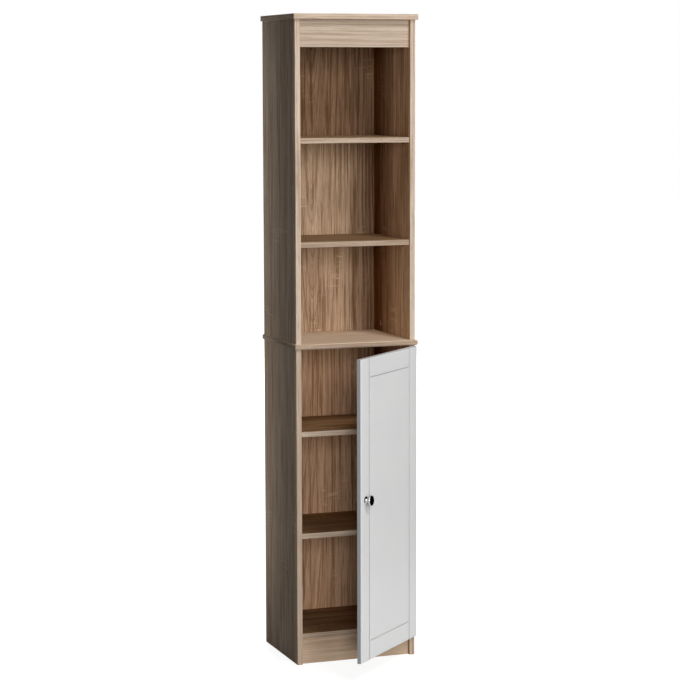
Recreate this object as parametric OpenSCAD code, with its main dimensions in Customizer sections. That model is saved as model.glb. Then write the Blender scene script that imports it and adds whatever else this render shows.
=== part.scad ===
// Tall bathroom cabinet: an open bookcase above and a cupboard with one framed-look door below.
// The origin is on the floor, in the plane of the back, at the middle of the width.
// X runs to the right, Y to the back and Z up. All sizes are in millimetres.

/* [Carcass] */
// Width over the two sides
body_w = 350; // [300:5:450]
// Depth of the sides, from their front edges to the plane of the back
body_d = 285; // [240:5:360]
// Height from the floor to the top of the top board
total_h = 1800; // [1700:10:1900]
// Height of the top of the mid board, which parts the bookcase from the cupboard
mid_h = 900; // [880:5:960]
// Thickness of every board
board_t = 15; // [14:0.5:19]
// Overhang of the top and mid boards past each side
end_lip = 5; // [0:0.5:15]
// Overhang of the top and mid boards past the fronts of the sides
front_lip = 10; // [0:0.5:12]
// Radius of the rounded edges of the mid board
mid_round = 5; // [2:0.5:6.5]
// Height of the rail under the top board
rail_h = 75; // [60:1:110]
// Height of the plinth under the bottom panel
plinth_h = 71; // [60:1:110]
// How far the rail, the plinth and the bottom panel stand back from the side fronts
front_set = 10; // [2:0.5:20]

/* [Back panels] */
// Thickness of the back panels
back_t = 3; // [2.5:0.5:5]
// Width of the rebate in each side that takes the edge of a back panel
rebate_w = 7; // [5:0.5:8]

/* [Shelves] */
// Underside of the lower shelf of the bookcase, above the floor
upper_shelf_low_z = 1165; // [1060:5:1220]
// Underside of the higher shelf of the bookcase, above the floor
upper_shelf_high_z = 1449; // [1350:1:1500]
// Underside of the lower shelf of the cupboard, above the floor
lower_shelf_low_z = 354; // [300:1:420]
// Underside of the higher shelf of the cupboard, above the floor
lower_shelf_high_z = 640; // [560:5:680]
// How far the bookcase shelves stand back from the side fronts
upper_shelf_set = 5; // [0:0.5:20]
// How far the cupboard shelves stand back from the side fronts
lower_shelf_set = 12; // [4:0.5:30]
// Gap between a shelf and the sides and back round it
shelf_gap = 0.5; // [0.3:0.1:2]
// Diameter of the peg of a shelf pin
pin_d = 5; // [4:0.5:6]
// Depth of the peg in the side
pin_in = 8; // [6:0.5:10]
// Diameter of the collar of a shelf pin
pin_collar_d = 8; // [7:0.5:12]
// Thickness of the collar of a shelf pin
pin_collar_t = 1.2; // [0.8:0.1:2]
// Length of the tongue that a shelf lies on, from the face of the side
pin_tongue = 8; // [6:0.5:12]
// Thickness of the tongue
pin_tongue_t = 2; // [1.5:0.1:3]
// Distance of the shelf pins from the front and back of the sides
pin_inset = 50; // [40:1:70]

/* [Board joints] */
// Diameter of a cam lock
cam_d = 15; // [12:0.5:16]
// Depth of the hole for a cam lock
cam_depth = 12.5; // [11:0.5:13]
// Distance of a cam lock's centre from the joint
cam_reach = 24; // [22:0.5:30]
// Diameter of the shank of a cam bolt
bolt_d = 5; // [4.5:0.5:5.5]
// Diameter of the thread and the head of a cam bolt
bolt_thread_d = 6; // [6:0.1:6.5]
// Depth of the thread in the mating board
bolt_in = 11; // [9:0.5:11.5]
// Diameter of the channel that the bolt runs through
bolt_way_d = 8; // [7.5:0.5:9]
// Diameter of a dowel
dowel_d = 8; // [6:0.5:8.5]
// Length of a dowel
dowel_l = 30; // [25:1:35]
// Length of the dowel in the mating board's face
dowel_in = 10; // [8:0.5:11]
// Distance of the cam locks from the front and back of the sides
cam_inset = 50; // [45:1:55]
// Distance of each dowel from the cam lock beside it
dowel_step = 32; // [24:1:36]
// How far the joints under the mid board stand inward of those above it
joint_shift = 16; // [14:0.5:18]
// How far a cam cover laps past its cam lock on every side
cover_lap = 1.5; // [0.5:0.1:3]
// Thickness of a cam cover
cover_t = 0.6; // [0.3:0.1:0.8]
// Distance between the cam bolt and the dowel at the ends of the rail and the plinth
rail_step = 28; // [24:1:32]

/* [Nails and wall brackets] */
// Diameter of a back panel nail
nail_d = 1.6; // [1.2:0.1:2.5]
// Length of a back panel nail
nail_l = 20; // [15:1:25]
// Diameter of a nail's head, let in flush
nail_head_d = 4; // [3:0.5:5]
// Thickness of a nail's head
nail_head_t = 0.8; // [0.5:0.1:1.2]
// Nails along each side of a back panel
nails_side = 6; // [3:1:10]
// Distance between the two wall holes
wall_spread = 200; // [120:5:250]
// Distance of the wall holes below the top board
wall_drop = 18; // [14:0.5:24]
// Diameter of a wall hole
wall_hole_d = 5; // [4:0.5:6]
// Width of a wall bracket
bracket_w = 18; // [15:1:30]
// Thickness of a wall bracket
bracket_t = 1.5; // [1:0.1:2.5]
// Length of the bracket's leg down the back panel
bracket_down = 30; // [26:1:40]
// Length of the bracket's leg under the top board
bracket_out = 25; // [20:1:40]

/* [Door] */
// How far the side edges of the door stay inside the outer faces of the sides
door_edge_set = 0; // [0:0.5:2]
// Thickness of the door
door_t = 12; // [12:0.5:13]
// Gap between the closed door and the side fronts
door_gap = 2; // [1.5:0.1:3]
// Gap between the top of the door and the mid board
door_top_gap = 2; // [1:0.5:6]
// How far the door laps down over the plinth
door_lap = 15; // [0:1:40]
// Radius of the rounded front edges of the door
door_round = 3; // [1:0.5:4]
// Width of the lines routed in the door
groove_w = 3; // [2:0.5:6]
// Depth of the lines routed in the door
groove_in = 1.5; // [0.5:0.1:1.6]
// Distance of the upright lines from the door's side edges
stile_w = 50; // [40:1:90]
// Distance of the level lines from the top and bottom of the door
door_rail_w = 53; // [40:1:120]
// Gap between the ends of a level line and the upright lines
groove_stop = 4; // [2:0.5:12]
// How far the door stands open
door_open = 43; // [0:1:95]

/* [Knob] */
// Distance of the knob from the free edge of the door
knob_inset = 28; // [20:1:38]
// Height of the knob above the floor
knob_z = 500; // [440:5:560]
// Diameter of the knob's head
knob_d = 30; // [26:0.5:36]
// Thickness of the knob's head
knob_head_t = 6.5; // [5:0.5:7]
// How far the knob stands out from the door
knob_out = 19; // [18:0.5:24]
// Diameter of the knob's base
knob_base_d = 22; // [18:0.5:24]
// Diameter of the knob's neck
knob_neck_d = 10; // [9:0.5:12]
// Diameter of the knob's screw
knob_screw_d = 4; // [3:0.5:5]
// Length of the knob's screw in the knob
knob_screw_in = 11; // [6:0.5:12]

/* [Door bumpers] */
// Diameter of a door bumper
bumper_d = 8; // [6:0.5:12]
// Gap between a bumper and the side when the door is closed
bumper_gap = 0.3; // [0.1:0.1:0.5]
// Distance of the bumpers from the top and bottom of the door
bumper_inset = 30; // [15:1:60]

/* [Hinges] */
// Distance of the hinges from the top and bottom of the door
hinge_inset = 100; // [70:5:160]
// Diameter of the cup let into the door
cup_d = 35; // [34.5:0.5:36]
// Depth of the cup
cup_in = 10; // [9.8:0.1:10.5]
// Distance of the cup's centre from the inner face of the side
cup_set = 6.5; // [6:0.1:6.8]
// Distance between the two screws of a cup
cup_screw_spread = 48; // [42:1:52]
// Distance of the cup's screws behind its centre, seen from the door's edge
cup_screw_set = 6; // [5:0.5:9]
// Thickness of the cup's ears, which lie on the door
ear_t = 1.2; // [0.8:0.1:1.4]
// Diameter of the hinge pins
hinge_pin_d = 1.8; // [1.6:0.1:1.9]
// Thickness of the hinge links
link_t = 1.8; // [1.4:0.1:2]
// Thickness of the arm's two walls, and of each plate of the outer links
arm_wall = 1.2; // [1:0.1:1.4]
// Width of the arm where it holds the mounting plate
arm_w = 12.8; // [12:0.2:15]
// Distance of the mounting plate's screws from the front of the side
plate_back = 37; // [36:0.5:40]
// Distance between the two screws of a mounting plate
plate_spread = 32; // [30:1:36]
// Thickness of the mounting plate
plate_t = 2; // [1.5:0.1:2.5]
// Height of the mounting plate's rib, which carries the arm
rib_h = 8; // [7:0.5:9]
// Length of the mounting plate's rib
rib_l = 40; // [36:1:44]
// Gap between the front of the rib and the front wall of the arm
rib_gap = 0.8; // [0.4:0.1:1]

/* [Screws] */
// Diameter of the screws of the wall brackets and hinge cups
wood_screw_d = 3.5; // [3:0.1:4]
// Length of the screws in the wood
wood_screw_l = 9; // [7:0.5:10]
// Diameter of the screws of the mounting plates
plate_screw_d = 5; // [4:0.5:6]
// Length of the screws of the mounting plates in the side
plate_screw_l = 11; // [9:0.5:12]
// Diameter of the two screws in each hinge arm
arm_screw_d = 4; // [3.5:0.5:5]

/* [Hidden] */

$fn = 48;
// Radial clearance of a peg, bolt or dowel in its hole
fit_gap = 0.05;
// How far a cut runs past the face that it opens in
over = 1;

oak = [0.66, 0.57, 0.48];
oak_dark = [0.58, 0.49, 0.40];
white = [0.87, 0.87, 0.86];
steel = [0.72, 0.73, 0.75];
zinc = [0.62, 0.63, 0.65];
beech = [0.82, 0.68, 0.48];
rubber = [0.85, 0.85, 0.83];

// Planes of the carcass
side_x = body_w / 2;
inner_x = side_x - board_t;
mid_x = side_x - board_t / 2;
front_y = -body_d;
set_y = front_y + front_set;
top_z = total_h - board_t;
mid_z = mid_h - board_t;
floor_z = plinth_h + board_t;
back_x = inner_x + rebate_w;
lip_y = front_y - front_lip;

// Door when closed
door_back_y = front_y - door_gap;
door_front_y = door_back_y - door_t;
door_top_z = mid_z - door_top_gap;
door_low_z = plinth_h - door_lap;
door_h = door_top_z - door_low_z;
door_right_x = side_x - door_edge_set;
door_left_x = -door_right_x;
door_w = door_right_x - door_left_x;
hinge_zs = [door_low_z + hinge_inset, door_top_z - hinge_inset];

// Board joints: where each stands on its joint, and how it is turned.
// In a joint's own frame z points into the board with the cam lock, and x to the face it opens in.
function ends_y(y0, y1, inset) = [y0 + inset, y1 - inset];
function upward(s) = s < 0 ? [0, 0, 0] : [0, 0, 180];
function downward(s) = s < 0 ? [180, 0, 0] : [0, 180, 0];
function inward_low(s) = s < 0 ? [0, 90, 0] : [0, 90, 180];
function inward_back(s) = s < 0 ? [90, 0, 90] : [-90, 0, 90];
function top_joints(inset) =
  [for (s = [-1, 1], y = ends_y(front_y, 0, inset)) [[s * mid_x, y, top_z], downward(s)]];
function above_mid_joints(inset) =
  [for (s = [-1, 1], y = ends_y(front_y, 0, inset)) [[s * mid_x, y, mid_h], upward(s)]];
function below_mid_joints(inset) =
  [for (s = [-1, 1], y = ends_y(front_y, 0, inset + joint_shift))
    [[s * mid_x, y, mid_z], downward(s)]];
function floor_joints(inset) =
  [for (s = [-1, 1], y = ends_y(set_y, -back_t, inset))
    [[s * inner_x, y, floor_z - board_t / 2], inward_low(s)]];
function rail_joints(z) =
  [for (s = [-1, 1]) [[s * inner_x, set_y + board_t / 2, z], inward_back(s)]];
dowel_inset = cam_inset + dowel_step;
rail_z = top_z - rail_h / 2;
plinth_z = plinth_h / 2;
top_cams = top_joints(cam_inset);
top_dowels = top_joints(dowel_inset);
above_mid_cams = above_mid_joints(cam_inset);
above_mid_dowels = above_mid_joints(dowel_inset);
below_mid_cams = below_mid_joints(cam_inset);
below_mid_dowels = below_mid_joints(dowel_inset);
floor_cams = floor_joints(cam_inset);
floor_dowels = floor_joints(dowel_inset);
rail_cams = rail_joints(rail_z - rail_step / 2);
rail_dowels = rail_joints(rail_z + rail_step / 2);
plinth_cams = rail_joints(plinth_z - rail_step / 2);
plinth_dowels = rail_joints(plinth_z + rail_step / 2);

// Draws its child at each place of a list of places and turns
module at_each(places) {
  for (p = places) translate(p[0]) rotate(p[1]) children();
}

// A rectangle from the origin, with corners rounded where soft is 1, from lower left round
module soft_rect(w, h, r, soft) {
  spots = [[r, r], [w - r, r], [w - r, h - r], [r, h - r]];
  translate([r, 0]) square([w - 2 * r, h]);
  translate([0, r]) square([w, h - 2 * r]);
  for (i = [0:3]) translate(spots[i]) {
    if (soft[i] == 1) circle(r = r);
    else square(2 * r, center = true);
  }
}

// A board from corner a to corner b
module board(a, b) {
  translate(a) cube(b - a);
}

// Cuts of the board joints
module cam_cut() {
  translate([board_t / 2 - cam_depth, 0, cam_reach]) rotate([0, 90, 0])
    cylinder(h = cam_depth + over, d = cam_d);
  translate([0, 0, -over]) cylinder(h = cam_reach + over, d = bolt_way_d);
}
module bolt_cut() {
  translate([0, 0, -bolt_in - fit_gap]) cylinder(h = bolt_in + over, r = bolt_thread_d / 2 + fit_gap);
}
module dowel_edge_cut() {
  translate([0, 0, -over])
    cylinder(h = dowel_l - dowel_in + 2 * over, r = dowel_d / 2 + fit_gap);
}
module dowel_face_cut() {
  translate([0, 0, -dowel_in - fit_gap]) cylinder(h = dowel_in + over, r = dowel_d / 2 + fit_gap);
}

// Shelf pins: the heights of the shelves' undersides give the holes in the sides
upper_pin_zs = [upper_shelf_low_z, upper_shelf_high_z];
lower_pin_zs = [lower_shelf_low_z, lower_shelf_high_z];
function pin_places(zs) =
  [for (s = [-1, 1], y = ends_y(front_y, 0, pin_inset), z = zs)
    [[s * inner_x, y, z], [0, 0, s < 0 ? 0 : 180]]];
module pin_cut() {
  translate([-pin_in - fit_gap, 0, -pin_collar_d / 2]) rotate([0, 90, 0])
    cylinder(h = pin_in + over, r = pin_d / 2 + fit_gap);
}
module shelf_pin() {
  translate([0, 0, -pin_collar_d / 2]) rotate([0, 90, 0]) {
    translate([0, 0, -pin_in]) cylinder(h = pin_in + pin_collar_t, d = pin_d);
    cylinder(h = pin_collar_t, d = pin_collar_d);
  }
  translate([0, -pin_collar_d / 2, -pin_tongue_t]) cube([pin_tongue, pin_collar_d, pin_tongue_t]);
  translate([0, -pin_tongue_t / 2, -pin_collar_d / 2])
    cube([pin_tongue / 2, pin_tongue_t, pin_collar_d / 2]);
}

// Nails, as [x, z] on the outer face of the back
nail_edge = 25;
nail_x = (inner_x + back_x) / 2;
function nail_rows(z0, z1) =
  [for (s = [-1, 1], i = [0:nails_side - 1])
    [s * nail_x, z0 + nail_edge + i * (z1 - z0 - 2 * nail_edge) / (nails_side - 1)]];
upper_nails = nail_rows(mid_h, top_z);
lower_nails = nail_rows(0, mid_z);
floor_nails = [for (s = [-1, 1]) [s * body_w / 4, floor_z - board_t / 2]];
module nail_cut(gap) {
  rotate([90, 0, 0]) {
    translate([0, 0, -over]) cylinder(h = nail_l + over + gap, r = nail_d / 2 + gap);
    translate([0, 0, -over]) cylinder(h = nail_head_t + over + gap, r = nail_head_d / 2 + gap);
  }
}
module nail_cuts(nails) {
  for (n = nails) translate([n[0], 0, n[1]]) nail_cut(fit_gap);
}

// Wall brackets
bracket_xs = [-wall_spread / 2, wall_spread / 2];
wall_z = top_z - wall_drop;
bracket_screw_y = -back_t - bracket_out + bracket_w / 2;
module wall_hole() {
  translate([0, over, wall_z]) rotate([90, 0, 0])
    cylinder(h = back_t + bracket_t + 2 * over, d = wall_hole_d);
}

// A screw from its seat: the shank runs up z, and the round head hangs below
module pan_screw(d, l) {
  cylinder(h = l, d = d);
  difference() {
    rotate_extrude() intersection() {
      translate([0, -0.6 * d]) square([d, 0.6 * d]);
      translate([0, 0.4 * d]) circle(r = d);
    }
    for (a = [0, 90]) rotate([0, 0, a])
      translate([-0.5 * d, -0.1 * d, -0.6 * d - over]) cube([d, 0.2 * d, over + 0.3 * d]);
  }
}
module screw_hole(d, l) {
  translate([0, 0, -over]) cylinder(h = l + over + fit_gap, r = d / 2 + fit_gap);
}

// Carcass
function joints_on(places, s) = [for (p = places) if (s * p[0][0] > 0) p];
function nails_on(nails, s) = [for (n = nails) if (s * n[0] > 0) n];

// One side from z0 to z1, with its rebate: s is -1 for the left and 1 for the right
module side_board(s, z0, z1) {
  mirror([s < 0 ? 1 : 0, 0, 0]) difference() {
    board([inner_x, front_y, z0], [side_x, 0, z1]);
    board([inner_x - over, -back_t, z0 - over], [back_x, over, z1 + over]);
  }
}
module upper_side(s) {
  color(oak) difference() {
    side_board(s, mid_h, top_z);
    at_each(joints_on(concat(top_cams, above_mid_cams), s)) cam_cut();
    at_each(joints_on(concat(top_dowels, above_mid_dowels), s)) dowel_edge_cut();
    at_each(joints_on(rail_cams, s)) bolt_cut();
    at_each(joints_on(rail_dowels, s)) dowel_face_cut();
    at_each(joints_on(pin_places(upper_pin_zs), s)) pin_cut();
    nail_cuts(nails_on(upper_nails, s));
  }
}
module lower_side(s) {
  color(oak) difference() {
    side_board(s, 0, mid_z);
    at_each(joints_on(below_mid_cams, s)) cam_cut();
    at_each(joints_on(below_mid_dowels, s)) dowel_edge_cut();
    at_each(joints_on(concat(floor_cams, plinth_cams), s)) bolt_cut();
    at_each(joints_on(concat(floor_dowels, plinth_dowels), s)) dowel_face_cut();
    at_each(joints_on(pin_places(lower_pin_zs), s)) pin_cut();
    nail_cuts(nails_on(lower_nails, s));
    if (s > 0) at_each(plate_screw_places) screw_hole(plate_screw_d, plate_screw_l);
  }
}
module upper_side_left() upper_side(-1);
module upper_side_right() upper_side(1);
module lower_side_left() lower_side(-1);
module lower_side_right() lower_side(1);

module top_board() {
  color(oak) difference() {
    board([-side_x - end_lip, lip_y, top_z], [side_x + end_lip, 0, total_h]);
    at_each(top_cams) bolt_cut();
    at_each(top_dowels) dowel_face_cut();
    for (x = bracket_xs) translate([x, bracket_screw_y, top_z]) screw_hole(wood_screw_d, wood_screw_l);
  }
}

module mid_board() {
  w = body_w + 2 * end_lip;
  color(oak) difference() {
    intersection() {
      translate([-w / 2, 0, mid_z]) rotate([90, 0, 0])
        linear_extrude(-lip_y) soft_rect(w, board_t, mid_round, [1, 1, 1, 1]);
      translate([-w / 2, lip_y, mid_z]) rotate([90, 0, 90])
        linear_extrude(w) soft_rect(-lip_y, board_t, mid_round, [1, 0, 0, 1]);
    }
    at_each(concat(above_mid_cams, below_mid_cams)) bolt_cut();
    at_each(concat(above_mid_dowels, below_mid_dowels)) dowel_face_cut();
  }
}

// A level board between the sides: rail, plinth and bottom panel
module top_rail() {
  color(oak) difference() {
    board([-inner_x, set_y, top_z - rail_h], [inner_x, set_y + board_t, top_z]);
    at_each(rail_cams) cam_cut();
    at_each(rail_dowels) dowel_edge_cut();
  }
}
module plinth() {
  color(oak) difference() {
    board([-inner_x, set_y, 0], [inner_x, set_y + board_t, plinth_h]);
    at_each(plinth_cams) cam_cut();
    at_each(plinth_dowels) dowel_edge_cut();
  }
}
module bottom_panel() {
  color(oak) difference() {
    board([-inner_x, set_y, plinth_h], [inner_x, -back_t, floor_z]);
    at_each(floor_cams) cam_cut();
    at_each(floor_dowels) dowel_edge_cut();
    nail_cuts(floor_nails);
  }
}

module shelf(z, set) {
  color(oak) board([-inner_x + shelf_gap, front_y + set, z],
    [inner_x - shelf_gap, -back_t - shelf_gap, z + board_t]);
}
module upper_shelf_low() shelf(upper_shelf_low_z, upper_shelf_set);
module upper_shelf_high() shelf(upper_shelf_high_z, upper_shelf_set);
module lower_shelf_low() shelf(lower_shelf_low_z, lower_shelf_set);
module lower_shelf_high() shelf(lower_shelf_high_z, lower_shelf_set);

module back_panel(z0, z1) {
  board([-back_x, -back_t, z0], [back_x, 0, z1]);
}
module upper_back() {
  color(oak_dark) difference() {
    back_panel(mid_h, top_z);
    nail_cuts(upper_nails);
    for (x = bracket_xs) translate([x, 0, 0]) wall_hole();
  }
}
module lower_back() {
  color(oak_dark) difference() {
    back_panel(0, mid_z);
    nail_cuts(concat(lower_nails, floor_nails));
  }
}

// Fasteners of the carcass. The face of a cam lock has a cross slot, and a way for the bolt's head.
cam_slot_w = 1.2;
cam_slot_in = 2;
cam_way_gap = 0.4;
module cam_lock() {
  difference() {
    translate([board_t / 2 - cam_depth + fit_gap, 0, cam_reach]) rotate([0, 90, 0])
      cylinder(h = cam_depth - 3 * fit_gap, d = cam_d - 2 * fit_gap);
    translate([0, 0, cam_reach - cam_d / 2 - over])
      cylinder(h = cam_d / 2 + over + 0.6 * bolt_thread_d, r = bolt_thread_d / 2 + cam_way_gap);
    for (a = [0, 90]) translate([board_t / 2 - cam_slot_in, 0, cam_reach]) rotate([a, 0, 0])
      translate([0, -cam_slot_w / 2, -cam_d / 4]) cube([over + cam_slot_in, cam_slot_w, cam_d / 2]);
  }
}
module cam_bolt() {
  head_h = 0.35 * bolt_thread_d;
  translate([0, 0, -bolt_in]) cylinder(h = bolt_in, d = bolt_thread_d);
  cylinder(h = cam_reach - head_h, d = bolt_d);
  cylinder(h = cam_reach, d = 0.6 * bolt_d);
  translate([0, 0, cam_reach]) cylinder(h = head_h, d = bolt_thread_d);
}
module cam_locks() {
  color(zinc) at_each(concat(top_cams, above_mid_cams, below_mid_cams, floor_cams, rail_cams,
    plinth_cams)) cam_lock();
}
module cam_bolts() {
  color(steel) at_each(concat(top_cams, above_mid_cams, below_mid_cams, floor_cams, rail_cams,
    plinth_cams)) cam_bolt();
}
// Thin stick-on discs in the boards' colour, over the cam locks that open into a compartment
module cam_covers() {
  color(oak) at_each(concat(top_cams, above_mid_cams, below_mid_cams))
    translate([board_t / 2, 0, cam_reach]) rotate([0, 90, 0])
      cylinder(h = cover_t, d = cam_d + 2 * cover_lap);
}
module dowels() {
  color(beech) at_each(concat(top_dowels, above_mid_dowels, below_mid_dowels, floor_dowels,
    rail_dowels, plinth_dowels)) translate([0, 0, -dowel_in]) cylinder(h = dowel_l, d = dowel_d);
}
module upper_shelf_pins() {
  color(steel) at_each(pin_places(upper_pin_zs)) shelf_pin();
}
module lower_shelf_pins() {
  color(steel) at_each(pin_places(lower_pin_zs)) shelf_pin();
}
module back_nails() {
  color(steel) for (n = concat(upper_nails, lower_nails, floor_nails)) translate([n[0], 0, n[1]])
    rotate([90, 0, 0]) {
      cylinder(h = nail_l, d = nail_d);
      cylinder(h = nail_head_t, d = nail_head_d);
    }
}
module wall_brackets() {
  color(steel) for (x = bracket_xs) difference() {
    union() {
      board([x - bracket_w / 2, -back_t - bracket_t, top_z - bracket_down],
        [x + bracket_w / 2, -back_t, top_z]);
      board([x - bracket_w / 2, -back_t - bracket_out, top_z - bracket_t],
        [x + bracket_w / 2, -back_t, top_z]);
    }
    translate([x, 0, 0]) wall_hole();
    translate([x, bracket_screw_y, top_z - bracket_t]) screw_hole(wood_screw_d, bracket_t + over);
  }
}
module wall_bracket_screws() {
  color(steel) for (x = bracket_xs) translate([x, bracket_screw_y, top_z - bracket_t])
    pan_screw(wood_screw_d, wood_screw_l + bracket_t);
}

// Hinge linkage. Points are [x, y] from where the inner face of the right side meets the plane of
// the back of the door, with the door closed. Each link turns by its ratio of the door's turn, and
// its bend is [along, aside] from its arm pin towards its cup pin.
outer_arm_pin = [-26, 3.6];
outer_cup_pin = [5, -1.8];
outer_ratio = -0.32;
outer_bend = [25.4, -2.9];
inner_arm_pin = [-5.4, -4.7];
inner_cup_pin = [6.4, -4.5];
inner_bend = [6.3, -3.7];
// Extra radius of the inner link's eye at the cup, where the linkage has play
inner_play = 0.6;
// Half widths across the hinge, from the inner link out to the plates of the outer link
link_gap = 0.2;
inner_half = 1.9;
nose_in = inner_half + link_gap;
nose_out = nose_in + arm_wall;
plate_in = nose_out + link_gap;
plate_out = plate_in + 1.5 * arm_wall;
pocket_half = 9;
pin_in_cup = 1.2;
pin_half = pocket_half + pin_in_cup;
eye_wall = 0.8;
cup_wall = 0.7;
nose_w = 3.4;
function turned(p, a) = [p.x * cos(a) - p.y * sin(a), p.x * sin(a) + p.y * cos(a)];
function hinge_point(p) = [inner_x + p.x, door_back_y + p.y];
function lifted(p) = [p.x, p.y, 0];
outer_cup_open = outer_arm_pin + turned(outer_cup_pin - outer_arm_pin, outer_ratio * door_open);
inner_cup_open = outer_cup_open + turned(inner_cup_pin - outer_cup_pin, door_open);
cup_x = inner_x - cup_set;

module at_hinges() {
  for (z = hinge_zs) translate([0, 0, z]) children();
}
// Places what is drawn with the door closed as the door stands
module with_door() {
  translate(lifted(hinge_point(outer_cup_open))) rotate([0, 0, door_open])
    translate(-lifted(hinge_point(outer_cup_pin))) children();
}
// An upright cylinder through a hinge point
module upright(p, r, half) {
  translate(lifted(hinge_point(p))) cylinder(h = 2 * half, r = r, center = true);
}

module bar(a, b, w) {
  translate(a) rotate(atan2(b.y - a.y, b.x - a.x)) translate([0, -w / 2]) square([norm(b - a), w]);
}
// Plan of a link from its arm pin to its cup pin, with the radius of its hole at the cup
module link_plan(from, to, bend, cup_hole) {
  way = to - from;
  end = [norm(way), 0];
  translate(hinge_point(from)) rotate(atan2(way.y, way.x)) difference() {
    union() {
      bar([0, 0], bend, link_t);
      bar(bend, end, link_t);
      translate(bend) circle(d = link_t);
      circle(r = hinge_pin_d / 2 + eye_wall);
      translate(end) circle(r = cup_hole + eye_wall);
    }
    circle(r = hinge_pin_d / 2 + fit_gap);
    translate(end) circle(r = cup_hole);
  }
}
module hinge_outer_links() {
  color(steel) at_hinges() for (z = [plate_in, -plate_out]) translate([0, 0, z])
    linear_extrude(plate_out - plate_in)
      link_plan(outer_arm_pin, outer_cup_open, outer_bend, hinge_pin_d / 2 + fit_gap);
}
module hinge_inner_links() {
  color(steel) at_hinges() translate([0, 0, -inner_half]) linear_extrude(2 * inner_half)
    link_plan(inner_arm_pin, inner_cup_open, inner_bend, hinge_pin_d / 2 + inner_play);
}
module hinge_arm_pins() {
  color(steel) at_hinges() {
    upright(outer_arm_pin, hinge_pin_d / 2, plate_out);
    upright(inner_arm_pin, hinge_pin_d / 2, nose_out);
  }
}
// The outer link's pin is in two halves, because the inner link passes between them
module hinge_cup_pins() {
  color(steel) with_door() at_hinges() {
    difference() {
      upright(outer_cup_pin, hinge_pin_d / 2, pin_half);
      upright(outer_cup_pin, hinge_pin_d, plate_in - link_gap / 2);
    }
    upright(inner_cup_pin, hinge_pin_d / 2, pin_half);
  }
}

// Mounting plate, from the face of the side inward
plate_mid_y = front_y + plate_back;
arm_front_y = plate_mid_y - rib_l / 2 - rib_gap - arm_wall;
plate_screw_places =
  [for (z = hinge_zs, t = [-1, 1])
    [[inner_x, plate_mid_y, z + t * plate_spread / 2], [0, 90, 0]]];
rib_half = arm_w / 2 - arm_wall - fit_gap;
arm_top_x = inner_x - rib_h - arm_wall;
arm_screw_ys = [plate_mid_y - rib_l / 4, plate_mid_y + rib_l / 4];
arm_screw_l = arm_wall + rib_h - over;
module arm_screw_place(y) {
  translate([arm_top_x, y, 0]) rotate([0, 90, 0]) children();
}
module hinge_plates() {
  wing = plate_spread / 2 + 1.2 * plate_screw_d;
  color(steel) difference() {
    at_hinges() {
      board([inner_x - plate_t, plate_mid_y - 1.4 * plate_screw_d, -wing],
        [inner_x, plate_mid_y + 1.4 * plate_screw_d, wing]);
      board([inner_x - rib_h, plate_mid_y - rib_l / 2, -rib_half],
        [inner_x, plate_mid_y + rib_l / 2, rib_half]);
    }
    at_each(plate_screw_places) translate([0, 0, -plate_t]) screw_hole(plate_screw_d, plate_t + over);
    at_hinges() for (y = arm_screw_ys) arm_screw_place(y) screw_hole(arm_screw_d, arm_screw_l);
  }
}
module hinge_plate_screws() {
  color(steel) at_each(plate_screw_places) translate([0, 0, -plate_t])
    pan_screw(plate_screw_d, plate_t + plate_screw_l);
}

// Arm: a channel over the plate's rib, and a forked nose that reaches into the cup
arm_root = [arm_top_x + nose_w / 2, arm_front_y + nose_w / 2];
module hinge_arms() {
  color(steel) difference() {
    at_hinges() {
      board([arm_top_x, arm_front_y, -arm_w / 2],
        [inner_x - plate_t - over, plate_mid_y + rib_l / 2, arm_w / 2]);
      translate([0, 0, -nose_out]) linear_extrude(2 * nose_out) {
        bar(arm_root, hinge_point(outer_arm_pin), nose_w);
        bar(hinge_point(outer_arm_pin), hinge_point(inner_arm_pin), nose_w);
        for (p = [outer_arm_pin, inner_arm_pin]) translate(hinge_point(p)) circle(d = nose_w);
      }
    }
    at_hinges() {
      board([inner_x - rib_h, arm_front_y + arm_wall, -arm_w / 2 + arm_wall],
        [inner_x, plate_mid_y + rib_l, arm_w / 2 - arm_wall]);
      upright(inner_arm_pin, hinge_pin_d / 2 + eye_wall + 3 * link_gap, nose_in);
      upright(inner_arm_pin, hinge_pin_d / 2 + fit_gap, nose_out + over);
      upright(outer_arm_pin, hinge_pin_d / 2 + fit_gap, nose_out + over);
      for (y = arm_screw_ys) arm_screw_place(y) screw_hole(arm_screw_d, arm_screw_l);
    }
  }
}
module hinge_arm_screws() {
  color(steel) at_hinges() for (y = arm_screw_ys) arm_screw_place(y)
    pan_screw(arm_screw_d, arm_screw_l);
}

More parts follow.
